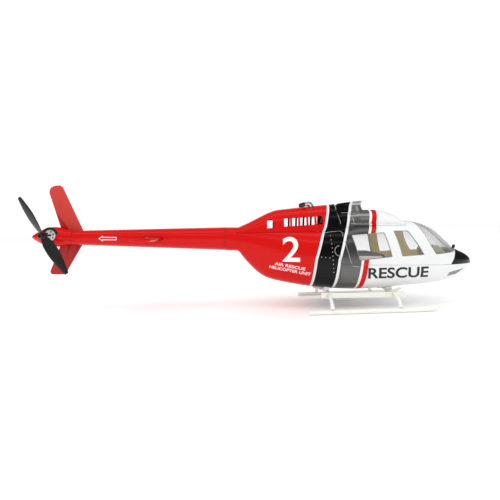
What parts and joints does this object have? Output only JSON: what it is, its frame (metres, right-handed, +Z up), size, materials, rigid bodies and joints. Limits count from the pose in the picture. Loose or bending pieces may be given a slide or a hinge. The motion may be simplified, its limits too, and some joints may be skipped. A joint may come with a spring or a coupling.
{
  "type": "helicopter scale model",
  "caption": "Small-scale helicopter fuselage with a lift-off glazed cabin, tail boom, swept fin, powered tail rotor and high skid landing gear.",
  "frame": {"origin": "middle of the bounding box, on the plane that the skids stand on", "axes": "+X towards the nose, +Y to port, +Z up; the tail boom's line is tilted 1.86 degrees nose-down"},
  "size_m": [0.4744, 0.0984, 0.1392],
  "materials": {
    "red_gloss": "gloss",
    "white_gloss": "gloss",
    "grey_metallic": "metallic gloss",
    "cream_plastic": "satin",
    "tan_plastic": "matt",
    "clear_pane": "clear",
    "chrome": "polished",
    "silver_metal": "satin",
    "dark_plastic": "satin",
    "black_gloss": "gloss",
    "plywood": "matt"
  },
  "bodies": {
    "airframe": {"rear_body_shell": "red_gloss", "belly_pan": "white_gloss", "engine_cowl": "red_gloss", "tail_boom": "red_gloss", "boom_joint_sleeve": "dark_plastic", "tail_pod": "red_gloss", "fin": "red_gloss", "fin_screw_upper": "silver_metal", "fin_screw_lower": "silver_metal", "stabiliser": "red_gloss", "motor_ring": "dark_plastic", "motor_base": "silver_metal", "mechanics_tray": "plywood", "tray_former_rear": "plywood", "tray_former_front": "plywood", "bench_seat": "dark_plastic", "pan_magnet_right": "silver_metal", "pan_magnet_left": "silver_metal", "chin_window_right": "clear_pane", "chin_window_left": "clear_pane", "cross_tube_rear": "cream_plastic", "cross_tube_front": "cream_plastic", "step_bar_right": "cream_plastic", "step_bar_left": "cream_plastic", "skid_right": "cream_plastic", "skid_left": "cream_plastic", "belly_saddle_rear_right": "cream_plastic", "belly_saddle_rear_left": "cream_plastic", "belly_saddle_front_right": "cream_plastic", "belly_saddle_front_left": "cream_plastic", "exhaust_right": "chrome", "exhaust_left": "chrome"},
    "cabin": {"cabin_shell": "white_gloss", "roof_fairing": "white_gloss", "mast_collar": "grey_metallic", "nose_post": "black_gloss", "instrument_panel": "dark_plastic", "windshield_right": "clear_pane", "windshield_left": "clear_pane", "front_door_window_right": "clear_pane", "front_door_window_left": "clear_pane", "rear_door_window_right": "clear_pane", "rear_door_window_left": "clear_pane", "door_liner_right": "tan_plastic", "door_liner_left": "tan_plastic", "cabin_magnet_right": "silver_metal", "cabin_magnet_left": "silver_metal"},
    "tail_rotor": {"motor_bell": "silver_metal", "motor_shaft": "silver_metal", "prop_nut": "silver_metal", "tail_prop": "dark_plastic"}
  },
  "joints": [
    {"name": "tail_rotor_spin", "type": "hinge", "parent": "airframe", "child": "tail_rotor", "pos_m": [-0.21271, -0.0204, 0.08378], "axis": [0, 1, 0], "continuous": true},
    {"name": "cabin_lift", "type": "slide", "parent": "airframe", "child": "cabin", "axis": [0.0325, 0, 0.9995], "range_m": [0, 0.07]}
  ]
}
